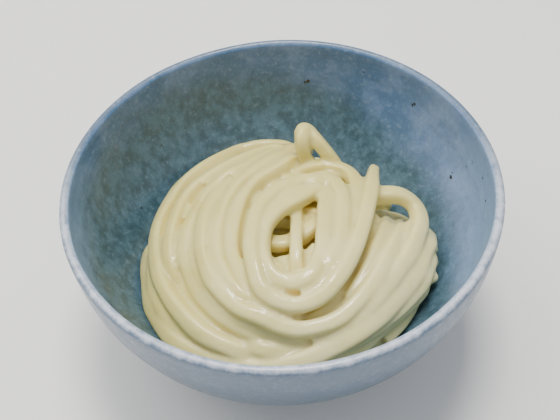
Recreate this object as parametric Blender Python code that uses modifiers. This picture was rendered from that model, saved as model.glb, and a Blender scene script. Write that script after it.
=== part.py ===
"""A stoneware donburi bowl that holds a wound nest of boiled udon noodles.

The bowl is one turned solid. The nest is one solid too: a low core that fills
the bottom of the bowl, with the noodles that show fused onto it. The frame has
+Z up, the origin under the middle of the foot, and the viewer's side at -Y.
"""

import math

import bmesh
import bpy
from mathutils import Vector

MM = 0.001

# Bowl, turned about Z
BOWL_HEIGHT = 75 * MM
RIM_RADIUS = 75 * MM
LIP_THICKNESS = 3.2 * MM
OUTER_BOTTOM = 5 * MM
INNER_BOTTOM = 12 * MM
WALL_FULLNESS = 2.2
FOOT_RADIUS = 31 * MM
FOOT_WIDTH = 4 * MM
FOOT_ROUNDING = 0.8 * MM
FOOT_RECESS = 4 * MM
BOWL_STEPS = 48
WALL_POINTS = 10
LIP_POINTS = 4
AXIS_WELD = 0.05 * MM

# Noodles, as boiled
NOODLE_THICKNESS = 5.6 * MM
NOODLE_SIDES_LEVEL = 2
DEGREES_PER_POINT = 12
POINTS_PER_CORNER = 3
CAP_WELD = 0.01 * MM
SHARP_EDGE = math.radians(40)
BOWL_GAP = 0.6 * MM

# Nest: its eye, its outline every 30 degrees from +X, and its dome
EYE = Vector((4 * MM, -13 * MM))
KEY_STEP = 30
OUTLINE = (53, 55, 56, 64, 66, 62, 57, 55, 46, 41, 42, 45)
CROWN_HEIGHT = 57 * MM
CROWN_DROP = 17 * MM
CROWN_POWER = 2.4

# Core under the noodles
CORE_SPREAD = 0.92
CORE_RINGS = 5
CORE_BEARINGS = 24
CORE_DEPTH = 3.5 * MM
EDGE_DEPTH = 3.5 * MM
EYE_DEPTH = 10.5 * MM
EYE_SHARE = 0.33


def smooth_value(values, position):
    """The value of a Catmull-Rom curve through evenly spaced values."""
    last = len(values) - 1
    index = min(int(position), last - 1)
    share = position - index
    before = values[max(index - 1, 0)]
    start = values[index]
    end = values[index + 1]
    after = values[min(index + 2, last)]
    slope = (end - before) / 2
    bend = before - 2.5 * start + 2 * end - 0.5 * after
    twist = (after - before) / 2 + 1.5 * (start - end)
    return start + share * (slope + share * (bend + share * twist))


def outline_radius(bearing):
    """How far the nest reaches from its eye at a bearing in degrees."""
    around = OUTLINE[-1:] + OUTLINE + OUTLINE[:2]
    return smooth_value(around, 1 + (bearing % 360) / KEY_STEP) * MM


def heap_height(x, y):
    """Height of a noodle's middle on the nest's dome."""
    reach = Vector((x, y)) - EYE
    bearing = math.degrees(math.atan2(reach.y, reach.x))
    share = reach.length / outline_radius(bearing)
    return CROWN_HEIGHT - CROWN_DROP * share**CROWN_POWER


def wall_radius(z, top_radius, depth):
    """Radius at height z of a wall that leaves the lip upright and curves in."""
    lip_centre = BOWL_HEIGHT - LIP_THICKNESS / 2
    share = min(max((lip_centre - z) / depth, 0), 1)
    return top_radius * (1 - share**WALL_FULLNESS) ** (1 / WALL_FULLNESS)


def wall_height(radius, top_radius, depth):
    """Height at which the same wall has this radius."""
    lip_centre = BOWL_HEIGHT - LIP_THICKNESS / 2
    share = min(radius / top_radius, 1)
    return lip_centre - depth * (1 - share**WALL_FULLNESS) ** (1 / WALL_FULLNESS)


def inner_wall(inset):
    """Top radius and depth of the bowl's inside, moved in by inset."""
    lip_centre = BOWL_HEIGHT - LIP_THICKNESS / 2
    return RIM_RADIUS - LIP_THICKNESS - inset, lip_centre - INNER_BOTTOM - inset


def bowl_profile():
    """Inside from the middle up, round the lip, down the outside and the foot."""
    lip_centre = BOWL_HEIGHT - LIP_THICKNESS / 2
    inner_top, inner_depth = inner_wall(0)
    outer_depth = lip_centre - OUTER_BOTTOM
    points = []
    for step in range(WALL_POINTS):
        turn = math.radians(90 * step / WALL_POINTS)
        radius = inner_top * math.sin(turn) ** (2 / WALL_FULLNESS)
        points.append((radius, wall_height(radius, inner_top, inner_depth)))
    for step in range(LIP_POINTS + 1):
        turn = math.pi * (1 - step / LIP_POINTS)
        middle = RIM_RADIUS - LIP_THICKNESS / 2
        points.append((
            middle + LIP_THICKNESS / 2 * math.cos(turn),
            lip_centre + LIP_THICKNESS / 2 * math.sin(turn),
        ))
    foot_top = wall_height(FOOT_RADIUS, RIM_RADIUS, outer_depth)
    for step in range(1, WALL_POINTS + 1):
        z = lip_centre + (foot_top - lip_centre) * math.sin(math.radians(90 * step / WALL_POINTS))
        points.append((wall_radius(z, RIM_RADIUS, outer_depth), z))
    foot_inside = FOOT_RADIUS - FOOT_WIDTH
    points += [
        (FOOT_RADIUS, FOOT_ROUNDING),
        (FOOT_RADIUS - FOOT_ROUNDING, 0),
        (foot_inside + FOOT_ROUNDING, 0),
        (foot_inside, FOOT_ROUNDING),
        (foot_inside, FOOT_RECESS),
        (0, FOOT_RECESS),
    ]
    return points


def make_bowl(collection, material):
    points = bowl_profile()
    mesh = bpy.data.meshes.new("bowl")
    edges = [(i, i + 1) for i in range(len(points) - 1)]
    mesh.from_pydata([(r, 0, z) for r, z in points], edges, [])
    bowl = bpy.data.objects.new("bowl", mesh)
    collection.objects.link(bowl)
    screw = bowl.modifiers.new("turned", "SCREW")
    screw.steps = BOWL_STEPS
    screw.render_steps = BOWL_STEPS
    screw.use_merge_vertices = True
    screw.merge_threshold = AXIS_WELD
    screw.use_smooth_shade = True
    mesh.materials.append(material)
    return bowl


def clear_of_bowl(point):
    """The point moved in where a noodle there would touch the bowl."""
    top_radius, depth = inner_wall(NOODLE_THICKNESS / 2 + BOWL_GAP)
    lowest = BOWL_HEIGHT - LIP_THICKNESS / 2 - depth
    point.z = max(point.z, lowest)
    limit = wall_radius(point.z, top_radius, depth)
    flat = point.to_2d()
    if flat.length > limit:
        flat = flat * (limit / flat.length)
    return Vector((flat.x, flat.y, point.z))


def turn_route(first, step, radii, lifts):
    """A noodle wound about the eye, by its radius in mm at every key bearing."""
    keys = len(radii) - 1
    count = round(keys * KEY_STEP / DEGREES_PER_POINT)
    route = []
    for index in range(count + 1):
        position = keys * index / count
        bearing = math.radians(first + step * position)
        radius = smooth_value(radii, position) * MM
        x = EYE.x + radius * math.cos(bearing)
        y = EYE.y + radius * math.sin(bearing)
        z = heap_height(x, y) + smooth_value(lifts, position) * MM
        route.append(clear_of_bowl(Vector((x, y, z))))
    return route


def free_route(corners):
    """A short noodle through a few places, each x, y and lift in mm."""
    count = (len(corners) - 1) * POINTS_PER_CORNER
    route = []
    for index in range(count + 1):
        position = (len(corners) - 1) * index / count
        x, y, lift = (smooth_value([c[axis] for c in corners], position) for axis in range(3))
        z = heap_height(x * MM, y * MM) + lift * MM
        route.append(clear_of_bowl(Vector((x * MM, y * MM, z))))
    return route


def noodle_mesh(route, collection):
    """A round-sided noodle along the route, as a closed mesh object."""
    curve = bpy.data.curves.new("noodle", "CURVE")
    curve.dimensions = "3D"
    curve.bevel_depth = NOODLE_THICKNESS / 2
    curve.bevel_resolution = NOODLE_SIDES_LEVEL
    curve.use_fill_caps = True
    spline = curve.splines.new("POLY")
    spline.points.add(len(route) - 1)
    for place, point in zip(spline.points, route):
        place.co = (*point, 1)
    guide = bpy.data.objects.new("noodle_guide", curve)
    collection.objects.link(guide)
    bpy.context.view_layer.update()
    evaluated = guide.evaluated_get(bpy.context.evaluated_depsgraph_get())
    mesh = bpy.data.meshes.new_from_object(evaluated)
    weld = bmesh.new()
    weld.from_mesh(mesh)
    bmesh.ops.remove_doubles(weld, verts=weld.verts, dist=CAP_WELD)
    bmesh.ops.recalc_face_normals(weld, faces=weld.faces)
    weld.to_mesh(mesh)
    weld.free()
    noodle = bpy.data.objects.new("noodle", mesh)
    noodle.matrix_world = guide.matrix_world
    collection.objects.link(noodle)
    bpy.data.objects.remove(guide)
    return noodle


def core_mesh():
    """The nest's inside: a dome above, and the bowl's own curve below."""
    top_radius, depth = inner_wall(BOWL_GAP)
    mesh = bmesh.new()
    middle_low = mesh.verts.new((EYE.x, EYE.y, wall_height(EYE.length, top_radius, depth)))
    middle_high = mesh.verts.new((EYE.x, EYE.y, CROWN_HEIGHT - EYE_DEPTH))
    low_rings, high_rings = [], []
    for ring in range(1, CORE_RINGS + 1):
        share = CORE_SPREAD * ring / CORE_RINGS
        low, high = [], []
        for index in range(CORE_BEARINGS):
            bearing = 360 * index / CORE_BEARINGS
            radius = outline_radius(bearing) * share
            x = EYE.x + radius * math.cos(math.radians(bearing))
            y = EYE.y + radius * math.sin(math.radians(bearing))
            floor = wall_height(math.hypot(x, y), top_radius, depth)
            in_eye = max(0, 1 - share / EYE_SHARE)
            dip = CORE_DEPTH + (EYE_DEPTH - CORE_DEPTH) * in_eye + EDGE_DEPTH * share**6
            low.append(mesh.verts.new((x, y, floor)))
            high.append(mesh.verts.new((x, y, max(heap_height(x, y) - dip, floor + BOWL_GAP))))
        low_rings.append(low)
        high_rings.append(high)
    for index in range(CORE_BEARINGS):
        following = (index + 1) % CORE_BEARINGS
        mesh.faces.new((middle_high, high_rings[0][index], high_rings[0][following]))
        mesh.faces.new((middle_low, low_rings[0][following], low_rings[0][index]))
        for inner, outer in zip(high_rings, high_rings[1:]):
            mesh.faces.new((inner[index], outer[index], outer[following], inner[following]))
        for inner, outer in zip(low_rings, low_rings[1:]):
            mesh.faces.new((inner[following], outer[following], outer[index], inner[index]))
        high, low = high_rings[-1], low_rings[-1]
        mesh.faces.new((high[index], low[index], low[following], high[following]))
    bmesh.ops.triangulate(mesh, faces=mesh.faces)
    bmesh.ops.recalc_face_normals(mesh, faces=mesh.faces)
    data = bpy.data.meshes.new("noodles")
    mesh.to_mesh(data)
    mesh.free()
    return data


def drop_hollows(mesh):
    """Takes out the walls of hollows sealed in between noodles and core."""
    shells = bmesh.new()
    shells.from_mesh(mesh)
    waiting = set(shells.verts)
    found = []
    while waiting:
        reached = [waiting.pop()]
        for vert in reached:
            for edge in vert.link_edges:
                other = edge.other_vert(vert)
                if other in waiting:
                    waiting.remove(other)
                    reached.append(other)
        found.append(reached)
    found.sort(key=len)
    for shell in found[:-1]:
        bmesh.ops.delete(shells, geom=shell, context="VERTS")
    shells.to_mesh(mesh)
    shells.free()


# Wound noodles: first bearing, direction, radius in mm every 30 degrees, lift in mm
TURNS = {
    "crown_high": (50, -1, (46, 25.5, 21, 21.5, 23.5, 25, 23, 19, 16.5, 17.5, 20.5, 24, 27),
                   (2, 2, 1, 1, 1, 1, 1, 1, 1, 1, 1, 1, -2)),
    "crown_middle": (65, -1, (26, 22, 16, 15.5, 17, 18.5, 18, 15, 12.5, 12.2, 13.5, 16, 17),
                     (-1, 0, 0, 0, 0, 0, 0, 0, 0, 0, 0, -1, -3)),
    "crown_inner": (50, -1, (20, 13, 10, 10.5, 13), (-1, -1, -1, -2, -4)),
    "band_crown": (30, 1, (25, 26, 28.5, 28, 23, 20.5, 21, 22), (-4, -3, -2, -2, -2, -2, -3, -5)),
    "band_inner": (30, 1, (29, 31, 34.5, 34.5, 29, 25, 24.5, 25, 25, 24),
                   (-5, -3, -1, -1, -1, -1, -1, -3, -5, -6)),
    "band_middle": (30, 1, (33, 36, 40.5, 41, 35, 29.5, 27.5, 27.5, 28, 28),
                    (-4, -2, -1, -1, -1, -1, -1, -1, -3, -6)),
    "band_outer": (30, 1, (37, 41, 46, 47.5, 41, 34.5, 31.5, 30, 31, 32.5, 33.5, 37.5),
                   (-5, -3, -1, -1, -1, -1, -1, -1, -1, -1, -1, 0)),
    "side_inner": (30, 1, (41, 45, 51, 53, 46.5, 39, 36, 34, 33, 32),
                   (-5, -3, -3, -3, -4, -3, -3, -4, -6, -7)),
    "side_middle": (30, 1, (45, 49, 56, 58.5, 52, 44.5, 40, 37, 35.5, 35),
                    (-6, -4, -3, -3, -3, -3, -3, -3, -5, -7)),
    "side_outer": (30, 1, (49, 52, 61, 64, 57.5, 50, 45, 40.5, 38, 38),
                   (-7, -5, -3, -3, -3, -3, -3, -3, -5, -8)),
    "foot_left": (150, 1, (57, 54.5, 51.5, 45, 41, 40), (-8, -4, -2, -3, -4, -6)),
    "right_inner": (30, -1, (33, 29, 25, 26.5, 28.5), (-7, -3, -3, -5, -7)),
    "right_middle": (30, -1, (41, 34, 29.5, 30, 31), (-5, -3, -3, -5, -7)),
    "right_front": (30, -1, (50, 44, 38, 36, 37, 41), (-6, -2, -2, -1, -1, -3)),
    "right_shoulder": (30, -1, (52, 48.5, 42.5, 39, 40), (-10, -4, -3, -3, -5)),
    "right_outer": (15, -1, (52, 48.5, 43, 42), (-13, -8, -6, -7)),
    "under_back": (20, 1, (50, 54, 59, 62, 60, 56), (-11, -10, -9, -9, -9, -9)),
    "under_right": (45, -1, (50, 51, 48, 43, 41, 41), (-14, -13, -12, -11, -10, -10)),
}

# Loose ends: a standing loop at the back, the turned end of the outer band, and strands in the eye
LOOSE = {
    "standing_loop": ((7, 24, -3), (7.5, 35, 4), (11, 44, 11), (15.5, 41, 10), (21, 33, 3), (27, 24, -4)),
    "right_loop": ((39, -20, 0), (44.5, -7, 0), (49.5, 4, 0), (50.5, 14, 0),
                   (45, 18.5, 0), (38, 17, 0), (30, 10, -3)),
    "eye_upright": ((4.5, 5, -5), (4.5, -6, -4), (4.5, -16, -4), (5, -28, -6)),
    "eye_back": ((-9, -12, -8), (2, -9, -7), (15, -7, -8)),
    "eye_front": ((-8, -22, -8), (3, -20, -8), (14, -17, -8)),
}


def make_nest(collection, pieces, material):
    for first, step, radii, lifts in TURNS.values():
        noodle_mesh(turn_route(first, step * KEY_STEP, radii, lifts), pieces)
    for corners in LOOSE.values():
        noodle_mesh(free_route(corners), pieces)
    nest = bpy.data.objects.new("noodles", core_mesh())
    collection.objects.link(nest)
    union = nest.modifiers.new("fused", "BOOLEAN")
    union.operation = "UNION"
    union.operand_type = "COLLECTION"
    union.collection = pieces
    union.solver = "MANIFOLD"
    bpy.context.view_layer.update()
    fused = nest.evaluated_get(bpy.context.evaluated_depsgraph_get())
    mesh = bpy.data.meshes.new_from_object(fused)
    nest.modifiers.clear()
    nest.data = mesh
    drop_hollows(mesh)
    for piece in list(pieces.objects):
        bpy.data.objects.remove(piece)
    bpy.data.collections.remove(pieces)
    mesh.materials.clear()
    mesh.materials.append(material)
    mesh.shade_smooth()
    mesh.set_sharp_from_angle(angle=SHARP_EDGE)
    return nest


def make_material(name, colour, roughness):
    material = bpy.data.materials.new(name)
    material.use_nodes = True
    shader = material.node_tree.nodes["Principled BSDF"]
    shader.inputs["Base Color"].default_value = (*colour, 1)
    shader.inputs["Roughness"].default_value = roughness
    shader.inputs["Metallic"].default_value = 0
    return material


def main():
    for old in list(bpy.data.objects):
        bpy.data.objects.remove(old)
    scene = bpy.context.scene
    collection = bpy.data.collections.new("udon_bowl")
    pieces = bpy.data.collections.new("udon_pieces")
    scene.collection.children.link(collection)
    scene.collection.children.link(pieces)
    glaze = make_material("celadon_blue_glaze", (0.25, 0.36, 0.45), 0.3)
    udon = make_material("boiled_udon", (0.78, 0.70, 0.50), 0.35)
    make_bowl(collection, glaze)
    make_nest(collection, pieces, udon)


main()
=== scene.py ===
"""A donburi of plain boiled udon: the looks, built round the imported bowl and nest."""

import math

import bmesh
import bpy
import numpy as np
from mathutils import Matrix, Vector, noise
from mathutils.bvhtree import BVHTree


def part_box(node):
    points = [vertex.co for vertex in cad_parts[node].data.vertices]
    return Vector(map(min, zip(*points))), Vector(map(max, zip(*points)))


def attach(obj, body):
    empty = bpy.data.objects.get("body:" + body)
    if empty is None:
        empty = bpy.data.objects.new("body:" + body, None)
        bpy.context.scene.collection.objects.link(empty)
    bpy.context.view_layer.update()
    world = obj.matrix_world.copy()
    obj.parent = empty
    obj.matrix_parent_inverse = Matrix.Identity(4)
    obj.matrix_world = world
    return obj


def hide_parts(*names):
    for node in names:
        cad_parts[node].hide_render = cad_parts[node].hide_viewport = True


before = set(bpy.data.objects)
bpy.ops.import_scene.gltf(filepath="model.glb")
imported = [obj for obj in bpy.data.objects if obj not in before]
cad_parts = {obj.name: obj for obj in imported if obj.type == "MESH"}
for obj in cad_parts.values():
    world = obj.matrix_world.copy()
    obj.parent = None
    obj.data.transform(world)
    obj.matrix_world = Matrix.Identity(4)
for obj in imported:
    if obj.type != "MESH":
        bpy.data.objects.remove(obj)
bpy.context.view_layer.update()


# The table that the bowl stands on: a plain pale board, matt, larger than the view.
# It isn't part of the object. The bowl's foot ring rests on it at height zero.
mm = 0.001
table_half_side = 1.6
bpy.ops.mesh.primitive_plane_add(size=2 * table_half_side)
table = bpy.context.object
table.name = "table"
table_paint = bpy.data.materials.new("table_paint")
table_paint.use_nodes = True
table_shader = table_paint.node_tree.nodes["Principled BSDF"]
table_shader.inputs["Base Color"].default_value = (0.80, 0.795, 0.785, 1)
table_shader.inputs["Roughness"].default_value = 0.75
table.data.materials.append(table_paint)


# The camera of the photograph: a 50 mm lens on full frame, 264 mm from the middle of
# the rim and 47 degrees above it, a little rolled. It aims just before the rim's middle.
camera_data = bpy.data.cameras.new("camera")
camera_data.lens = 50
camera_data.sensor_width = 36
camera_data.clip_start = 0.01
camera = bpy.data.objects.new("camera", camera_data)
bpy.context.scene.collection.objects.link(camera)
camera_place = Vector((0, -179.3, 268.7)) * mm
camera_aim = Vector((-0.7, -8.9, 67.2)) * mm
camera_roll = math.radians(-3.42)
camera.matrix_world = (
    Matrix.Translation(camera_place)
    @ (camera_aim - camera_place).to_track_quat("-Z", "Y").to_matrix().to_4x4()
    @ Matrix.Rotation(camera_roll, 4, "Z")
)
bpy.context.scene.camera = camera


# The light of the room: white walls all round, a broad window behind the bowl to the
# left, and a small lamp nearly overhead. The room fills the shadows and gives the sheen.
world = bpy.data.worlds.new("room")
bpy.context.scene.world = world
world.use_nodes = True
room = world.node_tree
room_light = room.nodes["Background"]
room_light.inputs["Strength"].default_value = 0.70
room_light.inputs["Color"].default_value = (0.93, 0.965, 1.03, 1)
daylight = (1.0, 0.97, 0.91)
light_aim = Vector((0, 0, 0.05))


def hang_light(name, width, depth, energy, place):
    """A soft flat light of this width and depth in metres, hung at a place over the bowl."""
    light_data = bpy.data.lights.new(name, "AREA")
    light_data.shape = "RECTANGLE"
    light_data.size = width
    light_data.size_y = depth
    light_data.energy = energy
    light_data.color = daylight
    light = bpy.data.objects.new(name, light_data)
    bpy.context.scene.collection.objects.link(light)
    light.location = place
    light.rotation_euler = (light_aim - light.location).to_track_quat("-Z", "Y").to_euler()


hang_light("window", 0.8, 0.6, 5.0, (-0.40, 0.22, 0.78))
hang_light("lamp", 0.24, 0.24, 8.4, (0.02, 0.13, 0.90))


# The bowl: thrown stoneware, dipped in a thick mottled glaze that breaks pale on the lip, with a painted
# highlight along the near lip.
# The foot ring is wiped clean of glaze, so it stands on bare clay. It keeps the frame's
# size, and its walls wander by a fraction of a millimetre, as thrown walls do.
bowl_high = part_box("bowl")[1]
bowl_height = bowl_high.z
rim_radius = bowl_high.x
lip_thickness = 3.2 * mm
lip_centre = bowl_height - lip_thickness / 2
outer_bottom = 5 * mm
inner_bottom = 12 * mm
wall_fullness = 2.2
foot_radius = 31 * mm
foot_width = 4 * mm
foot_rounding = 0.8 * mm
foot_recess = 4 * mm
wall_rings = 64
lip_rings = 14
foot_arc_rings = 5
bearings_round = 256
throwing_wander = 0.22 * mm
inward_share = 0.9
broad_wave = 22 * mm
fine_wave = 7 * mm
foot_zone = 12 * mm
lip_wander = 0.35 * mm
lip_zone = 6 * mm


def wall_radius(z, top_radius, depth):
    """The wall's radius at a height, on a full curve that ends at this depth below the lip."""
    share = min(max((lip_centre - z) / depth, 0), 1)
    return top_radius * (1 - share**wall_fullness) ** (1 / wall_fullness)


def wall_height(radius, top_radius, depth):
    """The height at which the same curve has this radius."""
    share = min(radius / top_radius, 1)
    return lip_centre - depth * (1 - share**wall_fullness) ** (1 / wall_fullness)


inner_top = rim_radius - lip_thickness
inner_depth = lip_centre - inner_bottom
outer_depth = lip_centre - outer_bottom

bowl_profile = []
for ring in range(wall_rings):
    turn = math.radians(90 * ring / wall_rings)
    radius = inner_top * math.sin(turn) ** (2 / wall_fullness)
    bowl_profile.append((radius, wall_height(radius, inner_top, inner_depth)))
for ring in range(lip_rings + 1):
    turn = math.pi * (1 - ring / lip_rings)
    bowl_profile.append((
        rim_radius - lip_thickness / 2 + lip_thickness / 2 * math.cos(turn),
        lip_centre + lip_thickness / 2 * math.sin(turn),
    ))
foot_top = wall_height(foot_radius, rim_radius, outer_depth)
for ring in range(1, wall_rings + 1):
    z = lip_centre + (foot_top - lip_centre) * math.sin(math.radians(90 * ring / wall_rings))
    bowl_profile.append((wall_radius(z, rim_radius, outer_depth), z))
foot_inside = foot_radius - foot_width
for corner, start in ((foot_radius - foot_rounding, 0), (foot_inside + foot_rounding, -90)):
    for ring in range(foot_arc_rings + 1):
        turn = math.radians(start - 90 * ring / foot_arc_rings)
        bowl_profile.append((
            corner + foot_rounding * math.cos(turn),
            foot_rounding + foot_rounding * math.sin(turn),
        ))
bowl_profile += [(foot_inside, foot_recess - 1 * mm), (foot_inside - 1 * mm, foot_recess), (0, foot_recess)]

bowl_mesh = bmesh.new()
previous = None
for radius, z in bowl_profile:
    if radius == 0:
        ring = [bowl_mesh.verts.new((0, 0, z))]
    else:
        ring = []
        for step in range(bearings_round):
            bearing = 2 * math.pi * step / bearings_round
            place = Vector((math.cos(bearing), math.sin(bearing), 0)) * 1.3
            wander = noise.noise(Vector((place.x, place.y, z / broad_wave)))
            wander += 0.4 * noise.noise(Vector((place.x * 3, place.y * 3, z / fine_wave + 40)))
            rise = min(max((z - foot_top) / foot_zone, 0), 1)
            out = radius + (wander - inward_share) * throwing_wander * rise
            up = noise.noise(Vector((place.x * 1.2, place.y * 1.2, 90))) - 0.75
            lift = up * lip_wander * min(max((z - lip_centre + lip_zone) / lip_zone, 0), 1)
            ring.append(bowl_mesh.verts.new((out * math.cos(bearing), out * math.sin(bearing), z + lift)))
    if previous is not None:
        for step in range(bearings_round):
            following = (step + 1) % bearings_round
            if len(previous) == 1:
                bowl_mesh.faces.new((previous[0], ring[step], ring[following]))
            elif len(ring) == 1:
                bowl_mesh.faces.new((previous[step], ring[0], previous[following]))
            else:
                bowl_mesh.faces.new((previous[step], ring[step], ring[following], previous[following]))
    previous = ring
bmesh.ops.recalc_face_normals(bowl_mesh, faces=bowl_mesh.faces)
bowl_data = bpy.data.meshes.new("donburi")
bowl_mesh.to_mesh(bowl_data)
bowl_mesh.free()
bowl_data.shade_smooth()
donburi = bpy.data.objects.new("donburi", bowl_data)
bpy.context.scene.collection.objects.link(donburi)

glaze = bpy.data.materials.new("celadon_glaze")
glaze.use_nodes = True
nodes = glaze.node_tree.nodes
links = glaze.node_tree.links
shader = nodes["Principled BSDF"]
where = nodes.new("ShaderNodeTexCoord")
height = nodes.new("ShaderNodeSeparateXYZ")
links.new(where.outputs["Object"], height.inputs[0])


# These add to the material in hand: they use its nodes, its links and its where
def node_noise(scale, detail, rough, stretch=(1, 1, 1), shift=(0, 0, 0)):
    move = nodes.new("ShaderNodeMapping")
    move.inputs["Scale"].default_value = stretch
    move.inputs["Location"].default_value = shift
    links.new(where.outputs["Object"], move.inputs["Vector"])
    cloud = nodes.new("ShaderNodeTexNoise")
    cloud.inputs["Scale"].default_value = scale
    cloud.inputs["Detail"].default_value = detail
    cloud.inputs["Roughness"].default_value = rough
    links.new(move.outputs[0], cloud.inputs["Vector"])
    return cloud.outputs["Fac"]


def node_range(value, low, high, to_low=0.0, to_high=1.0, smooth=True):
    spread = nodes.new("ShaderNodeMapRange")
    spread.interpolation_type = "SMOOTHSTEP" if smooth else "LINEAR"
    spread.inputs["From Min"].default_value = low
    spread.inputs["From Max"].default_value = high
    spread.inputs["To Min"].default_value = to_low
    spread.inputs["To Max"].default_value = to_high
    links.new(value, spread.inputs["Value"])
    return spread.outputs["Result"]


def node_math(kind, first, second):
    sum_node = nodes.new("ShaderNodeMath")
    sum_node.operation = kind
    for socket, value in zip(sum_node.inputs, (first, second)):
        if isinstance(value, (int, float)):
            socket.default_value = value
        else:
            links.new(value, socket)
    return sum_node.outputs[0]


def node_mix(share, first, second):
    blend = nodes.new("ShaderNodeMix")
    blend.data_type = "RGBA"
    if isinstance(share, (int, float)):
        blend.inputs["Factor"].default_value = share
    else:
        links.new(share, blend.inputs["Factor"])
    for socket, value in ((blend.inputs[6], first), (blend.inputs[7], second)):
        if isinstance(value, tuple):
            socket.default_value = (*value, 1)
        else:
            links.new(value, socket)
    return blend.outputs[2]


def node_drift(cloud, amount):
    """A cloud's drift to both sides of zero, this much in all."""
    return node_math("MULTIPLY", node_math("SUBTRACT", cloud, 0.5), amount)


deep_slate = (0.032, 0.074, 0.101)
mid_celadon = (0.062, 0.128, 0.176)
sky_blue = (0.050, 0.130, 0.265)
periwinkle = (0.190, 0.285, 0.480)
rim_blue = (0.25, 0.38, 0.56)
outer_slate = (0.05, 0.09, 0.14)
lip_pale_and_sheen = (0.60, 0.64, 0.72)
pale_fleck = (0.27, 0.37, 0.50)
dark_fleck = (0.045, 0.07, 0.085)
iron = (0.012, 0.012, 0.012)

clouds = node_noise(38, 4, 0.6, shift=(3, 1, 2))
mottle = node_noise(230, 6, 0.7, stretch=(1, 1, 0.7))
flecks = node_noise(520, 4, 0.75)
lilac_patches = node_noise(70, 3, 0.6, shift=(9, 4, 7))
body = node_mix(node_range(mottle, 0.38, 0.62), deep_slate, mid_celadon)

# The glaze turns from slate to blue at an uneven edge, which is painted lower on the right as painted light
# on the right wall
edge = node_math("ADD", height.outputs["Z"], node_drift(clouds, 0.024))
edge = node_math("ADD", edge, node_range(height.outputs["X"], -0.01, 0.07, 0, 0.021))
near_rim = node_range(edge, 0.053, 0.072)

# The inner and the outer side: the wall faces the bowl's middle, or away from it
facing = nodes.new("ShaderNodeVectorMath")
facing.operation = "DOT_PRODUCT"
links.new(where.outputs["Object"], facing.inputs[0])
links.new(where.outputs["Normal"], facing.inputs[1])
inner_side = node_range(facing.outputs["Value"], 0.01, -0.02)
# Painted light: the inner wall's near right side is painted toward periwinkle, on top of the random lilac
# patches
lit_side = node_math("SUBTRACT", node_math("MULTIPLY", height.outputs["X"], 0.8), height.outputs["Y"])
painted_light_share = node_math("MULTIPLY", node_range(lit_side, -0.045, 0.06, 0, 0.85), inner_side)
lilac_and_painted_light_share = node_math("ADD", node_range(lilac_patches, 0.4, 0.62, 0, 0.45), painted_light_share)
blue = node_mix(lilac_and_painted_light_share, sky_blue, periwinkle)
body = node_mix(near_rim, body, blue)

# Toward the rim the near half is painted paler, as painted light, and the outside stays dull
rim_edge = node_math("ADD", height.outputs["Z"], node_drift(mottle, 0.010))
near_half_light_share = node_range(height.outputs["Y"], 0.03, -0.03, 0.05, 0.85)
rim_painted_light_share = node_math("MULTIPLY", node_range(rim_edge, 0.046, 0.068), near_half_light_share)
body = node_mix(rim_painted_light_share, body, rim_blue)
outer_side = node_range(facing.outputs["Value"], 0.0, 0.03, 0, 0.75)
body = node_mix(outer_side, body, outer_slate)

# Fine pale and dark flecks, and the bare pale line along the lip, partly glaze breaking pale and partly a
# painted highlight on the near half
pale_share = node_math("MULTIPLY", node_range(flecks, 0.5, 0.74), node_range(near_rim, 0, 1, 0.25, 0.5))
body = node_mix(pale_share, body, pale_fleck)
dark_share = node_math("MULTIPLY", node_range(flecks, 0.44, 0.27), 0.45)
body = node_mix(dark_share, body, dark_fleck)
lip_line = node_math("ADD", height.outputs["Z"], node_drift(mottle, 0.0035))
lip_pale_and_sheen_share = node_range(lip_line, 0.0735, 0.0752, 0, 1)
body = node_mix(node_math("MULTIPLY", lip_pale_and_sheen_share, near_half_light_share), body, lip_pale_and_sheen)

# Iron specks on the inner wall, by bearing in degrees, height in mm and size in mm. Most
# show in the photograph. The fine ones all over the glaze come from a pattern of cells.
specks = (
    (78.7, 57.0, 1.0), (79.6, 56.5, 0.7), (40.3, 61.7, 0.9), (40.9, 60.9, 0.8), (15.7, 48.8, 1.0),
    (16.2, 50.3, 0.5), (-4.7, 62.1, 0.7), (2.4, 64.3, 0.6), (135.7, 46.8, 0.6), (138.2, 42.1, 0.6),
    (114.9, 54.0, 0.6), (158.2, 36.4, 0.7), (12.0, 58.0, 0.4), (60.0, 66.0, 0.4), (97.0, 62.0, 0.4),
)
speck_share = None
speck_warp = node_drift(node_noise(900, 2, 0.5), 0.0010)
for bearing, z, size in specks:
    turn = math.radians(bearing)
    radius = wall_radius(z * mm, inner_top, inner_depth)
    apart = nodes.new("ShaderNodeVectorMath")
    apart.operation = "DISTANCE"
    links.new(where.outputs["Object"], apart.inputs[0])
    apart.inputs[1].default_value = (radius * math.cos(turn), radius * math.sin(turn), z * mm)
    reach = node_math("ADD", apart.outputs["Value"], speck_warp)
    dot = node_range(reach, 1.0 * size * mm, 0.55 * size * mm)
    speck_share = dot if speck_share is None else node_math("MAXIMUM", speck_share, dot)
cells = nodes.new("ShaderNodeTexVoronoi")
cells.inputs["Scale"].default_value = 95
links.new(where.outputs["Object"], cells.inputs["Vector"])
chance = nodes.new("ShaderNodeSeparateColor")
links.new(cells.outputs["Color"], chance.inputs[0])
cell_reach = node_math("ADD", cells.outputs["Distance"], node_math("MULTIPLY", speck_warp, 40))
small_dot = node_math(
    "MULTIPLY", node_range(cell_reach, 0.05, 0.02), node_range(chance.outputs[0], 0.80, 0.82),
)
speck_share = node_math("MAXIMUM", speck_share, node_math("MULTIPLY", small_dot, 0.8))
body = node_mix(speck_share, body, iron)
links.new(body, shader.inputs["Base Color"])
links.new(node_range(mottle, 0.3, 0.7, 0.30, 0.42), shader.inputs["Roughness"])
shader.inputs["IOR"].default_value = 1.5
shader.inputs["Coat Weight"].default_value = 0.25
shader.inputs["Coat Roughness"].default_value = 0.12

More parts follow.
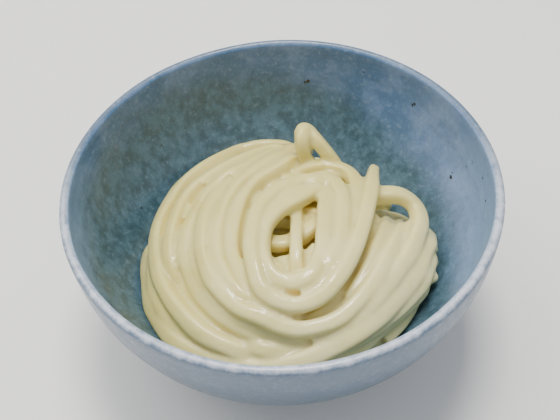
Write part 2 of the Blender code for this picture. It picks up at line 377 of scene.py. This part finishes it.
# The relief: the mottle's own thickness, and the faint rings of the potter's fingers
finger_rings = nodes.new("ShaderNodeTexWave")
finger_rings.wave_type = "BANDS"
finger_rings.bands_direction = "Z"
finger_rings.inputs["Scale"].default_value = 55
finger_rings.inputs["Distortion"].default_value = 2.5
finger_rings.inputs["Detail"].default_value = 2
links.new(where.outputs["Object"], finger_rings.inputs["Vector"])
ring_relief = node_math("MULTIPLY", finger_rings.outputs["Fac"], 0.10)
relief = node_math("ADD", node_math("MULTIPLY", mottle, 0.7), ring_relief)
bump = nodes.new("ShaderNodeBump")
bump.inputs["Strength"].default_value = 0.35
bump.inputs["Distance"].default_value = 0.0012
links.new(relief, bump.inputs["Height"])
links.new(bump.outputs[0], shader.inputs["Normal"])
bowl_data.materials.append(glaze)

clay_brown = (0.42, 0.33, 0.25)
clay_buff = (0.55, 0.45, 0.35)
unglazed_top = 2.2 * mm
bare_clay = bpy.data.materials.new("bare_clay")
bare_clay.use_nodes = True
nodes = bare_clay.node_tree.nodes
links = bare_clay.node_tree.links
shader = nodes["Principled BSDF"]
where = nodes.new("ShaderNodeTexCoord")
body = node_mix(node_range(node_noise(700, 5, 0.7), 0.35, 0.65), clay_brown, clay_buff)
links.new(body, shader.inputs["Base Color"])
shader.inputs["Roughness"].default_value = 0.85
bump = nodes.new("ShaderNodeBump")
bump.inputs["Strength"].default_value = 0.4
bump.inputs["Distance"].default_value = 0.0005
links.new(node_noise(1500, 3, 0.6), bump.inputs["Height"])
links.new(bump.outputs[0], shader.inputs["Normal"])
bowl_data.materials.append(bare_clay)
for face in bowl_data.polygons:
    if face.center.z < unglazed_top:
        face.material_index = 1
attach(donburi, "root")
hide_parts("bowl")


# The noodles: thick wheat noodles, knife-cut square and swollen round in boiling, wound
# once round the fingers and dropped in as a nest. They are wet and cling to each other,
# so they are laid strand by strand, pressed together, and joined by a thin wet film.
eye = Vector((4 * mm, -13 * mm))
key_step = 30

# How far the heap reaches from its eye, in mm, at each key step round from +X
outline = (53, 55, 56, 64, 66, 62, 57, 55, 46, 41, 42, 45)
crown_height = 57 * mm
crown_drop = 17 * mm
crown_power = 2.4
noodle_width = 5.7 * mm
noodle_depth = 5.3 * mm
bowl_clearance = 0.5 * mm


def smooth_value(values, position):
    """The value of a smooth curve through values, at a position counted in values."""
    last = len(values) - 1
    index = min(int(position), last - 1)
    share = position - index
    before = values[max(index - 1, 0)]
    start = values[index]
    end = values[index + 1]
    after = values[min(index + 2, last)]
    slope = (end - before) / 2
    bend = before - 2.5 * start + 2 * end - 0.5 * after
    twist = (after - before) / 2 + 1.5 * (start - end)
    return start + share * (slope + share * (bend + share * twist))


def outline_radius(bearing):
    """How far the heap reaches from its eye, on a bearing in degrees."""
    around = outline[-1:] + outline + outline[:2]
    return smooth_value(around, 1 + (bearing % 360) / key_step) * mm


def heap_height(x, y):
    """The height of the heap's surface: a low dome that falls off toward the outline."""
    reach = Vector((x, y)) - eye
    bearing = math.degrees(math.atan2(reach.y, reach.x))
    share = reach.length / outline_radius(bearing)
    return crown_height - crown_drop * min(share, 1.15) ** crown_power


# The hidden turns lie this far below the surface, and deeper where a hole shows them
hidden_depth = 6.2 * mm
holes = ((1 * mm, -12 * mm, 9 * mm, 3 * mm), (43 * mm, 15 * mm, 11 * mm, 14 * mm))


def hollow(x, y):
    """The depth of the hidden turns at a place: each hole is an x, a y, a reach and a drop."""
    depth = hidden_depth
    for hole_x, hole_y, spread, drop in holes:
        away = math.hypot(x - hole_x, y - hole_y)
        depth += drop * math.exp(-((away / spread) ** 2))
    return depth


def strand_route(corners, steps_per_corner=8):
    """A smooth line through corners of x, y and lift above the heap's surface, all in mm."""
    placed = [(x * mm, y * mm, heap_height(x * mm, y * mm) + lift * mm) for x, y, lift in corners]
    route = []
    for index in range((len(placed) - 1) * steps_per_corner + 1):
        position = index / steps_per_corner
        route.append([smooth_value([place[axis] for place in placed], position) for axis in range(3)])
    return np.array(route)


def evenly(route, spacing):
    """The same route in points that lie this far apart."""
    steps = np.linalg.norm(np.diff(route, axis=0), axis=1)
    along = np.concatenate([[0], np.cumsum(steps)])
    count = max(4, int(round(along[-1] / spacing)) + 1)
    marks = np.linspace(0, along[-1], count)
    return np.stack([np.interp(marks, along, route[:, axis]) for axis in range(3)], axis=1)


# The strands that show, along their middles: x, y and lift above the heap, in mm
strands = {
    "crown_outer": (
        (36, 25.5, 3.5), (33.5, 12, 3.5), (31, 1, 2.5), (28, -9, 2), (24.5, -18, 2), (21, -25, 2),
        (16, -31, 2), (11, -36, 1.6), (5, -38, 1), (0, -38, 0.6), (-5.5, -36, 0.6), (-8.5, -31.5, 0.8),
        (-10, -25.5, 1.2), (-10.5, -18, 1.4), (-10.5, -10.5, 1.4), (-8.5, -2.5, 1.4), (-5, 3.5, 1.4),
        (-0.5, 8.5, 1.4), (4, 12, 1), (10, 13.5, 0.5), (15.5, 14, 0), (20, 9.5, -1), (21, 1, -2),
        (19.5, -7.5, -3), (17.5, -15, -4),
    ),
    "crown_inner": (
        (21, 24.5, -3.5), (14.5, 14, -1), (9.5, 7.5, 0.5), (4.5, 3.5, 0.7), (-0.5, 0.5, 0.7),
        (-5, -4.5, 0.7), (-7.5, -10.5, 0.7), (-8.5, -17.5, 0.7), (-7.5, -23.5, 0.7), (-4.5, -29, 0.7),
        (0.5, -31, 0.7), (5.5, -31, 0.7), (10, -28, 0.7), (12.5, -22.5, 0.7), (13.5, -15, 0.7),
        (14.5, -7, 0.7), (15.5, 1.5, 0.6), (16.5, 11, -0.5),
    ),
    "crown_between": (
        (-7.5, -5, 0), (-4.5, 0.5, 0.6), (0, 5, 0.8), (5, 8, 0.8), (10.5, 11, 0.2), (15.5, 13, -1.5),
        (19, 11.5, -3),
    ),
    "crown_right": (
        (9.5, 16.5, -2), (14.5, 15, 0.2), (19, 12.5, 0.8), (21.5, 6, 0.8), (21.5, -2, 0.8),
        (20.5, -9, 0.8), (19.5, -15, 0.8), (17, -21, 0.8), (14.5, -25.5, 0.5), (10.5, -29.5, 0),
        (5.5, -31.5, -1),
    ),
    "crown_back": (
        (3.5, 25.5, -7.5), (9, 27.5, -4), (15, 27.5, -1.2), (22, 27, 0.1), (27, 22, 0.4), (28, 13, 0.4),
        (26.5, 2, 0.4), (24, -6, -0.5), (22, -12, -3),
    ),
    "band_inner": (
        (11.5, 50.5, -4), (6, 34.5, -2.5), (-0.5, 27, -2.5), (-6.5, 22, -2.7), (-12, 17, -3),
        (-15, 9, -3), (-17, 1, -2.8), (-18, -7, -2.8), (-18, -14.5, -2.8), (-16.5, -22, -2.4),
        (-14, -28.5, -1.8), (-10.5, -34, -1.4), (-6, -38, -1.4), (-0.5, -39, -3), (5, -38, -6.5),
        (11, -35, -10), (17, -30.5, -11), (23, -24.5, -11), (27.5, -17, -11), (30.5, -8.5, -11.5),
        (32.5, -1, -13),
    ),
    "band_middle": (
        (8, 51, -4), (2, 38.5, -2), (-4, 32, -1.5), (-9.5, 25, -1.2), (-15, 18, -1.2), (-19, 11, -1.2),
        (-22, 3, -1.2), (-23.5, -5.5, -1.2), (-23.5, -13.5, -1.2), (-22, -21, -1), (-19.5, -27, -1),
        (-16, -32.5, -1), (-12, -36, -1.4), (-7, -38.5, -2), (-1.5, -40, -3), (4, -40, -5),
    ),
    "band_outer": (
        (-8, 39, -6), (-14.5, 30.5, -5), (-20, 20.5, -3), (-25, 11, -1), (-28, 3, -0.8),
        (-28.5, -5.5, -0.8), (-28.5, -13, -0.8), (-27, -20, -0.8), (-25, -25.5, -0.8),
        (-21.5, -30.5, -0.8), (-18, -34.5, -0.8), (-13, -37.5, -0.8), (-7.5, -40.5, -0.8),
        (-2.5, -42.5, -1), (2.5, -44, -1), (8, -44, -1), (13.5, -43, -1), (19, -40.5, -1),
        (23.5, -36, -1), (28, -30.5, -1), (32, -24, -1), (36, -18, -1.2), (39, -11.5, -2), (42, -4, -5),
        (45, 6.5, -11),
    ),
    "loop_fill": (
        (21.5, -33, -5), (25.5, -28, -3.5), (29.5, -22, -3), (32, -16, -2.8), (34.5, -9.5, -3.5),
        (37, -1.5, -7), (39.5, 7.5, -12),
    ),
    "top_fill": (
        (4.5, 46.5, -3), (-4.5, 38.5, -2), (-12.5, 30, -1.6), (-19.5, 24.5, -1.6), (-25.5, 19.5, -2),
        (-29.5, 13.5, -3), (-32.5, 8, -5),
    ),
    "top_tuck": (
        (1, 30, -4.4), (7, 31, -3.8), (12.5, 29, -3.6), (18, 28.5, -3.4),
    ),
    "band_edge": (
        (-23, 28.5, -7), (-28.5, 18, -5), (-31.5, 7.5, -2.6), (-34.5, 0, -2.2), (-35.5, -7.5, -2.4),
        (-34.5, -14, -3.4), (-32.5, -20.5, -4.6), (-29.5, -27, -5), (-25.5, -32.5, -5), (-21, -37, -5),
        (-15.5, -40.5, -5.2), (-10.5, -42.5, -6), (-5, -44, -7), (1, -44, -8.5), (7, -42.5, -10),
    ),
    "side_inner": (
        (11, 41.5, -5), (4.5, 42.5, -3), (-3.5, 42.5, -2), (-11.5, 38.5, -1.5), (-19.5, 34, -1.5),
        (-27, 28.5, -1.5), (-33.5, 22.5, -1.5), (-38, 14.5, -1.5), (-40, 6, -1.5), (-41, -2.5, -1.5),
        (-41, -10, -2), (-40, -15.5, -4), (-38, -19, -8), (-35.5, -23, -12),
    ),
    "side_outer": (
        (10.5, 54.5, -5), (3, 53.5, -4), (-6, 53.5, -3), (-15, 53, -3), (-23.5, 46, -3), (-31, 39.5, -3),
        (-38.5, 32, -3), (-43, 21, -3), (-46.5, 10, -3), (-47.5, 0, -3), (-46.5, -8.5, -3),
        (-44, -18, -3), (-40, -27, -3), (-35.5, -34, -3), (-30.5, -39.5, -3.5), (-24.5, -43.5, -4.5),
        (-17.5, -46, -5.5), (-11, -47.5, -7), (-4, -47.5, -9.5), (2.5, -46, -12),
    ),
    "foot_left": (
        (-48.5, 13.5, -13), (-51, 5, -10), (-51, -4.5, -8.5), (-50, -12.5, -8), (-49, -20.5, -7.5),
        (-47.5, -28, -7), (-43.5, -35, -6.5), (-38, -40.5, -6.5), (-31.5, -44.5, -6.5),
        (-25, -47.5, -6.5), (-17.5, -50, -6), (-10.5, -52, -5.2), (-3, -52, -4.2), (4.5, -51, -3.2),
        (11.5, -49, -2.6), (18, -46.5, -2.2), (24.5, -43.5, -2), (30, -39.5, -2), (35, -35, -2),
        (40, -29.5, -2), (44, -24, -2), (47.5, -17.5, -2.5), (51, -10, -3.5), (53, -0.5, -6),
    ),
    "loop_right": (
        (26, 5.5, -8), (30.5, 9, -4), (35.5, 10.5, 0), (41, 10.5, 2.5), (46, 10.5, 3), (50, 7.5, 2),
        (50.5, 0.5, 0.8), (47.5, -8.5, 0), (44, -15.5, -0.5), (39.5, -22, -0.8), (35, -27.5, -1),
        (30, -33, -1), (25, -37.5, -1.5), (19, -41, -2), (13.5, -43.5, -3), (7.5, -43.5, -5),
    ),
    "right_low": (
        (52, -0.5, -7), (52, -8, -5), (50.5, -15.5, -4), (48, -22, -3.4), (44, -27.5, -3.4),
        (39, -32.5, -3.4), (33.5, -37, -3.6), (28.5, -41, -4), (22.5, -44.5, -5), (16, -47, -6),
    ),
    "right_side": (
        (53.5, -3, -12), (53, -11.5, -11), (51.5, -18.5, -10.5), (48.5, -25, -10), (43.5, -31, -10),
        (38, -36, -10), (32, -40.5, -11),
    ),
    "standing_loop": (
        (15, 27, -7), (11, 30.5, -2), (9, 31, 6), (9, 33.5, 11), (9.5, 36.5, 13), (11, 39, 12.5),
        (14, 34.5, 10), (18, 31, 6), (21, 28.5, 1), (24.5, 28, -4),
    ),
    "eye_upright": (
        (5.5, 8, -5), (5, -1.5, -4), (4.5, -9.5, -3.5), (4, -16.5, -3.5), (4, -22, -5), (4, -25, -8),
    ),
    "eye_back": (
        (-10, -2.5, -8), (-5, -10, -6.2), (0.5, -11, -6), (6, -8, -6), (10, -5.5, -5), (14, -3, -5),
    ),
    "eye_front": (
        (-7, -21, -7.5), (-2, -19.5, -7), (3.5, -19, -7.5), (8.5, -17.5, -7.5), (12, -13.5, -7),
    ),
    "crown_fill_left": (
        (-9.5, -22.5, -0.5), (-8, -28, 0.2), (-7, -31.5, 0.2), (-6, -32.5, -1.4),
    ),
    "crown_fill_right": (
        (6.5, -34, -1.4), (8.5, -33.5, 0.2), (11, -32, 0.3), (14.5, -28, 0.2), (17.5, -22, -1),
    ),
    "loop_floor": (
        (32, 17.5, -13), (39, 21.5, -12.5), (46.5, 24, -12.5), (53, 23.5, -13), (57.5, 19.5, -14),
    ),
    "right_end_back": (
        (44.5, -12.5, -5), (49, -8.5, -5), (53.5, -5.5, -5.5),
    ),
    "right_end_middle": (
        (44.5, -17.5, -5), (49, -14, -5), (53, -12, -5.5),
    ),
    "right_end_front": (
        (43.5, -23.5, -5), (48, -21, -5), (52, -18, -5.5),
    ),
    "loop_floor_front": (
        (31.5, 6.5, -12), (38, 9.5, -12), (45, 11, -12), (50, 9, -12),
    ),
}
routes = {name: strand_route(corners) for name, corners in strands.items()}


# Turns below the ones that show, which fill what is seen between them, and four more
# against the bowl's wall, which carry the heap's edge down to where it rests.
def ring_route(first, share, lift, sway, phase):
    """A turn round the eye, at a share of the outline, sunk to the hidden depth."""
    corners = []
    for key in range(360 // key_step + 1):
        bearing = first + key_step * key
        radius = outline_radius(bearing) / mm * share + sway * math.sin(1.7 * key + phase)
        turn = math.radians(bearing)
        corners.append((eye.x / mm + radius * math.cos(turn), eye.y / mm + radius * math.sin(turn), lift))
    route = strand_route(corners)
    for point in route:
        point[2] -= hollow(point[0], point[1])
    return route


for number in range(8):
    routes[f"under_{number}"] = ring_route(20 * number, 0.24 + 0.095 * number, 0, 1.2, number)
for number in range(4):
    stack_lift = -3.8 - 5.2 * number
    routes[f"stack_{number}"] = ring_route(35 * number, 0.97 - 0.01 * number, stack_lift, 0.8, number)

# Settling: strands that overlap push each other a little apart, and none leaves the bowl
point_spacing = 3.0 * mm
shown_hold = 0.30
hidden_hold = 0.06
push_share = 0.22
evening_share = 0.15
kin_points = 4
rest_gap = 4.5 * mm
largest_step = 0.8 * mm
settling_turns = 30
names = list(routes)
lines = [evenly(routes[name], point_spacing) for name in names]
owner = np.concatenate([np.full(len(line), index) for index, line in enumerate(lines)])
order = np.concatenate([np.arange(len(line)) for line in lines])
planned = np.concatenate(lines)
places = planned.copy()
shows = np.array([not name.startswith(("under_", "stack_")) for name in names])[owner]
hold = np.where(shows, shown_hold, hidden_hold)[:, None]
same = owner[:, None] == owner[None, :]
close_kin = same & (np.abs(order[:, None] - order[None, :]) < kin_points)
starts = np.concatenate([[True], np.diff(owner) != 0])
ends = np.concatenate([np.diff(owner) != 0, [True]])
middle = np.where(~(starts | ends))[0]
wall_inset = noodle_width / 2 + bowl_clearance
for turn in range(settling_turns):
    apart = places[:, None, :] - places[None, :, :]
    gap = np.sqrt((apart**2).sum(axis=2))
    touching = (gap < rest_gap) & ~close_kin
    push = np.where(touching, (rest_gap - gap) / np.maximum(gap, 1e-6), 0)
    moved = (apart * push[:, :, None]).sum(axis=1) * push_share
    size = np.linalg.norm(moved, axis=1, keepdims=True)
    moved *= np.minimum(1, largest_step / np.maximum(size, 1e-9))
    places = places + moved + (planned - places) * hold
    evened = (places[middle - 1] + places[middle + 1]) / 2
    places[middle] += (evened - places[middle]) * evening_share
    places[:, 2] = np.maximum(places[:, 2], inner_bottom + wall_inset)
    share = np.clip((lip_centre - places[:, 2]) / (inner_depth - wall_inset), 0, 1)
    limit = (inner_top - wall_inset) * (1 - share**wall_fullness) ** (1 / wall_fullness)
    flat = np.hypot(places[:, 0], places[:, 1])
    places[:, :2] *= np.minimum(1, limit / np.maximum(flat, 1e-9))[:, None]


def wave(seed, along, length):
    """A slow uneven sway, about 1 high, along a strand."""
    draw = np.random.RandomState(seed)
    value = np.zeros_like(along)
    for _ in range(4):
        span = length * draw.uniform(0.6, 1.8)
        value += draw.uniform(0.4, 1.0) * np.sin(2 * np.pi * (along / span + draw.uniform()))
    return value / 2.4


# Widths and depths that differ from the rest, and what else each strand's form needs
noodle_sizes = {
    "standing_loop": (5.8 * mm, 5.4 * mm),
    "loop_right": (6.6 * mm, 5.6 * mm),
    "side_outer": (6.2 * mm, 5.4 * mm),
    "foot_left": (6.6 * mm, 5.6 * mm),
    "eye_upright": (4.6 * mm, 4.6 * mm),
    "bridge": (4.6 * mm, 4.4 * mm),
}
flat_loops = {"standing_loop": (0.15, -1.0, 0.3)}
narrow_starts = {"crown_outer": 0.76}
narrow_length = 14 * mm
section_sides = 24
section_fullness = 3.4
section_spacing = 1.2 * mm
end_rounding = ((0.30, 0.985), (0.50, 0.94), (0.62, 0.84), (0.66, 0.45))
film = 0.22 * mm
heap_heart = 8 * mm
upright_share = 1.6
most_twist = 0.20
width_swell = 0.06
depth_swell = 0.05
side_sway = 0.12 * mm
twist_length, width_length, depth_length, sway_length = 60 * mm, 24 * mm, 20 * mm, 13 * mm


def strand_rings(name, path, seed):
    """Rings of points round a strand: a rounded square that swells and twists a little."""
    width, depth = noodle_sizes.get(name, (noodle_width, noodle_depth))
    path = evenly(path, point_spacing)
    fine = np.linspace(0, len(path) - 1, int((len(path) - 1) * point_spacing / section_spacing) + 1)
    centre = np.stack([[smooth_value(path[:, axis], t) for t in fine] for axis in range(3)], axis=1)
    ahead = np.gradient(centre, axis=0)
    ahead /= np.linalg.norm(ahead, axis=1, keepdims=True)
    up = centre - np.array([eye.x, eye.y, heap_heart])
    up[:, 2] *= upright_share
    side = np.cross(ahead, up)
    if name in flat_loops:
        loop_axis = np.array(flat_loops[name])
        side = loop_axis - ahead * (ahead @ loop_axis)[:, None]
    side /= np.linalg.norm(side, axis=1, keepdims=True)
    rise = np.cross(side, ahead)
    along = fine * point_spacing
    twist = most_twist * wave(seed, along, twist_length)
    half_width = width / 2 * (1 + width_swell * wave(seed + 1, along, width_length)) + film
    half_depth = depth / 2 * (1 + depth_swell * wave(seed + 2, along, depth_length)) + film
    narrowing = np.clip(along / narrow_length, 0, 1) * (1 - narrow_starts.get(name, 1))
    half_width *= narrow_starts.get(name, 1) + narrowing
    sway = side_sway * wave(seed + 3, along, sway_length)
    across = side * np.cos(twist)[:, None] + rise * np.sin(twist)[:, None]
    upward = rise * np.cos(twist)[:, None] - side * np.sin(twist)[:, None]
    turn = 2 * np.pi * np.arange(section_sides) / section_sides
    cosine, sine = np.cos(turn), np.sin(turn)
    reach = (np.abs(cosine) ** section_fullness + np.abs(sine) ** section_fullness) ** (-1 / section_fullness)
    wide = (cosine * reach)[None, :, None] * (across * half_width[:, None])[:, None, :]
    deep = (sine * reach)[None, :, None] * (upward * half_depth[:, None])[:, None, :]
    rings = centre[:, None, :] + (across * sway[:, None])[:, None, :] + wide + deep
    caps = []
    for end, toward in ((0, -1), (-1, 1)):
        cap = []
        for out, keep in end_rounding:
            cap.append(centre[end] + (rings[end] - centre[end]) * keep + ahead[end] * toward * out * mm)
        caps.append(np.array(cap))
    return np.concatenate([caps[0][::-1], rings, caps[1]])


# Where neighbours cling flat together, wet starch levels the groove between them
clinging = (
    ("band_inner", "band_middle"), ("band_middle", "band_outer"), ("crown_outer", "crown_inner"),
    ("crown_inner", "crown_right"), ("crown_right", "crown_outer"), ("crown_right", "crown_back"),
    ("crown_between", "crown_inner"), ("crown_between", "crown_outer"), ("band_outer", "loop_right"),
    ("band_outer", "loop_fill"), ("side_inner", "side_outer"), ("side_inner", "top_fill"),
    ("top_fill", "band_outer"), ("top_fill", "band_middle"), ("foot_left", "right_low"),
    ("band_outer", "band_edge"), ("top_fill", "band_edge"),
)
open_spots = ((-0.2, -33.4), (22.4, 17.1))
open_reach = 4.6 * mm
cling_reach = 8.6 * mm
bridge_sink = 0.35 * mm
laid_paths = [(name, places[owner == index]) for index, name in enumerate(names)]
for first_name, second_name in clinging:
    first = places[owner == names.index(first_name)]
    second = places[owner == names.index(second_name)]
    gaps = np.linalg.norm(first[:, None, :] - second[None, :, :], axis=2)
    nearest = gaps.argmin(axis=1)
    near = gaps.min(axis=1) < cling_reach
    between = (first + second[nearest]) / 2
    for spot_x, spot_y in open_spots:
        near &= np.hypot(between[:, 0] - spot_x * mm, between[:, 1] - spot_y * mm) > open_reach
    between[:, 2] -= bridge_sink
    for _ in range(3):
        between[1:-1] = (between[:-2] + 2 * between[1:-1] + between[2:]) / 4
    for run in np.split(np.arange(len(first)), np.where(np.diff(near.astype(int)) != 0)[0] + 1):
        if near[run[0]] and len(run) > 2:
            laid_paths.append(("bridge", between[run]))

nest_mesh = bmesh.new()
for index, (name, path) in enumerate(laid_paths):
    rings = strand_rings(name, path, 11 * index + 5)
    laid = [[nest_mesh.verts.new(point) for point in ring] for ring in rings]
    for first, second in zip(laid, laid[1:]):
        for corner in range(section_sides):
            following = (corner + 1) % section_sides
            nest_mesh.faces.new((first[corner], first[following], second[following], second[corner]))
    nest_mesh.faces.new(laid[0][::-1])
    nest_mesh.faces.new(laid[-1])

# The core: the noodles deep inside, pressed to one lump, down to the bowl's own curve
core_rings = 14
core_bearings = 60
core_depth = 9.5 * mm
core_spread = 0.90
core_edge_drop = 4 * mm
core_middle_dip = 3 * mm
core_least = 1 * mm
core_layers = []
for lower in (True, False):
    laid = []
    for ring in range(1, core_rings + 1):
        share = core_spread * ring / core_rings
        row = []
        for step in range(core_bearings):
            bearing = 360 * step / core_bearings
            radius = outline_radius(bearing) * share
            x = eye.x + radius * math.cos(math.radians(bearing))
            y = eye.y + radius * math.sin(math.radians(bearing))
            floor = wall_height(math.hypot(x, y), inner_top - bowl_clearance, inner_depth - bowl_clearance)
            top = heap_height(x, y) - core_depth + hidden_depth - hollow(x, y) - core_edge_drop * share**6
            top = max(top, floor + core_least)
            row.append(nest_mesh.verts.new((x, y, floor + film if lower else top)))
        laid.append(row)
    if lower:
        middle_height = inner_bottom + bowl_clearance + film
    else:
        middle_height = crown_height - core_depth - core_middle_dip
    core_layers.append((laid, nest_mesh.verts.new((eye.x, eye.y, middle_height))))
for laid, centre in core_layers:
    for step in range(core_bearings):
        following = (step + 1) % core_bearings
        nest_mesh.faces.new((centre, laid[0][step], laid[0][following]))
        for inner_row, outer_row in zip(laid, laid[1:]):
            nest_mesh.faces.new((
                inner_row[step], outer_row[step], outer_row[following], inner_row[following],
            ))
for step in range(core_bearings):
    following = (step + 1) % core_bearings
    low_row, high_row = core_layers[0][0][-1], core_layers[1][0][-1]
    nest_mesh.faces.new((low_row[step], low_row[following], high_row[following], high_row[step]))
bmesh.ops.recalc_face_normals(nest_mesh, faces=nest_mesh.faces)
laid_data = bpy.data.meshes.new("strands_as_laid")
nest_mesh.to_mesh(laid_data)
nest_mesh.free()
laid_strands = bpy.data.objects.new("strands_as_laid", laid_data)
bpy.context.scene.collection.objects.link(laid_strands)

# The strands' outer skins become one, then sink by the film's thickness, which leaves
# the narrow grooves filled with the film and keeps the strands at their own width
skin_grain = 0.52 * mm
smoothing_rounds = 2


def finished_mesh(draft):
    """A draft's mesh with its modifier done. The draft itself goes."""
    done = draft.evaluated_get(bpy.context.evaluated_depsgraph_get())
    mesh = bpy.data.meshes.new_from_object(done)
    bpy.data.objects.remove(draft)
    return mesh


def smooth_skin(mesh):
    for _ in range(smoothing_rounds):
        bmesh.ops.smooth_vert(
            mesh, verts=mesh.verts, factor=0.5, use_axis_x=True, use_axis_y=True, use_axis_z=True,
        )


joined = laid_strands.modifiers.new("joined", "REMESH")
joined.mode = "VOXEL"
joined.voxel_size = skin_grain
skin_data = finished_mesh(laid_strands)
skin = bmesh.new()
skin.from_mesh(skin_data)
smooth_skin(skin)
skin.normal_update()
sunk = [vertex.co - vertex.normal * film for vertex in skin.verts]
for vertex, place in zip(skin.verts, sunk):
    vertex.co = place
smooth_skin(skin)

# Closed pockets deep inside are dropped, and the skin is thinned to this many triangles
most_triangles = 190000
top_vertex = max(skin.verts, key=lambda vertex: vertex.co.z)
reached = {top_vertex}
waiting = [top_vertex]
while waiting:
    vertex = waiting.pop()
    for joining in vertex.link_edges:
        other = joining.other_vert(vertex)
        if other not in reached:
            reached.add(other)
            waiting.append(other)
pockets = [vertex for vertex in skin.verts if vertex not in reached]
bmesh.ops.delete(skin, geom=pockets, context="VERTS")
skin.to_mesh(skin_data)
skin.free()
full_skin = bpy.data.objects.new("full_skin", skin_data)
bpy.context.scene.collection.objects.link(full_skin)
thinned = full_skin.modifiers.new("thinned", "DECIMATE")
thinned.ratio = min(1, most_triangles / (2 * len(skin_data.polygons)))
skin_data = finished_mesh(full_skin)
skin = bmesh.new()
skin.from_mesh(skin_data)
skin.normal_update()

# How sheltered each spot is, from 0 in the open to 1 deep in a groove, used to paint
# shade into the dough's colour. Each spot looks out in 11 directions, in rings of a tilt in degrees and a
# count.
shelter_reach = 12 * mm
lifted = 0.3 * mm
look_rings = ((25, 4), (55, 7))
own_share = 0.4
tree = BVHTree.FromBMesh(skin)
look = []
for ring, (tilt, count) in enumerate(look_rings):
    for step in range(count):
        turn = 2 * math.pi * (step + 0.5 * ring) / count
        tilt_turn = math.radians(tilt)
        look.append(Vector((
            math.sin(tilt_turn) * math.cos(turn), math.sin(tilt_turn) * math.sin(turn), math.cos(tilt_turn),
        )))
up_axis = Vector((0, 0, 1))
shelter = []
for vertex in skin.verts:
    toward = up_axis.rotation_difference(vertex.normal)
    start = vertex.co + vertex.normal * lifted
    hits = 0
    for direction in look:
        found = tree.ray_cast(start, toward @ direction, shelter_reach)
        if found[0] is not None:
            hits += 1 - found[3] / shelter_reach
    shelter.append(hits / len(look))
skin.to_mesh(skin_data)
skin.free()
edge_ends = np.zeros(len(skin_data.edges) * 2, dtype=np.int64)
skin_data.edges.foreach_get("vertices", edge_ends)
edge_ends = edge_ends.reshape(-1, 2)
shelter = np.array(shelter)
for _ in range(3):
    total = np.bincount(edge_ends[:, 0], shelter[edge_ends[:, 1]], len(shelter))
    total += np.bincount(edge_ends[:, 1], shelter[edge_ends[:, 0]], len(shelter))
    number = np.bincount(edge_ends.ravel(), minlength=len(shelter))
    shelter = own_share * shelter + (1 - own_share) * total / np.maximum(number, 1)
sheltered = skin_data.attributes.new("sheltered", "FLOAT", "POINT")
sheltered.data.foreach_set("value", shelter.astype(np.float32))
skin_data.shade_smooth()
udon_nest = bpy.data.objects.new("udon_nest", skin_data)
bpy.context.scene.collection.objects.link(udon_nest)

# The dough: cream to ivory, painted paler toward the near right side as painted light, and painted golden in
# grooves as painted shade
cream = (0.64, 0.565, 0.195)
ivory = (0.68, 0.605, 0.24)
lit_cream = (0.745, 0.67, 0.315)
lit_ivory = (0.785, 0.71, 0.365)
groove_shade_gold = (0.75, 0.60, 0.18)
udon = bpy.data.materials.new("boiled_udon")
udon.use_nodes = True
nodes = udon.node_tree.nodes
links = udon.node_tree.links
shader = nodes["Principled BSDF"]
where = nodes.new("ShaderNodeTexCoord")
groove = nodes.new("ShaderNodeAttribute")
groove.attribute_name = "sheltered"
cloudy = node_noise(60, 3, 0.5)
dough = node_mix(node_range(cloudy, 0.35, 0.65), cream, ivory)
lit_dough = node_mix(node_range(cloudy, 0.35, 0.65), lit_cream, lit_ivory)
height = nodes.new("ShaderNodeSeparateXYZ")
links.new(where.outputs["Object"], height.inputs[0])
# Painted light: the near right side of the heap is painted paler
lit_side = node_math("SUBTRACT", node_math("MULTIPLY", height.outputs["X"], 0.6), height.outputs["Y"])
dough = node_mix(node_range(lit_side, -0.005, 0.060), dough, lit_dough)
# Painted shade: sheltered grooves are painted golden
dough = node_mix(node_range(groove.outputs["Fac"], 0.25, 0.85), dough, groove_shade_gold)
links.new(dough, shader.inputs["Base Color"])
shader.inputs["Subsurface Weight"].default_value = 0.9
shader.inputs["Subsurface Radius"].default_value = (1.0, 0.86, 0.58)
shader.inputs["Subsurface Scale"].default_value = 3.8 * mm
shader.inputs["Roughness"].default_value = 0.40
shader.inputs["IOR"].default_value = 1.38
shader.inputs["Coat Weight"].default_value = 0.7
shader.inputs["Coat Roughness"].default_value = 0.08
shader.inputs["Coat IOR"].default_value = 1.36
bump = nodes.new("ShaderNodeBump")
bump.inputs["Strength"].default_value = 0.3
bump.inputs["Distance"].default_value = 0.0010
links.new(
    node_math("ADD", node_noise(260, 3, 0.5), node_math("MULTIPLY", node_noise(900, 3, 0.6), 0.15)),
    bump.inputs["Height"],
)
links.new(bump.outputs[0], shader.inputs["Normal"])
skin_data.materials.append(udon)
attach(udon_nest, "root")
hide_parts("noodles")
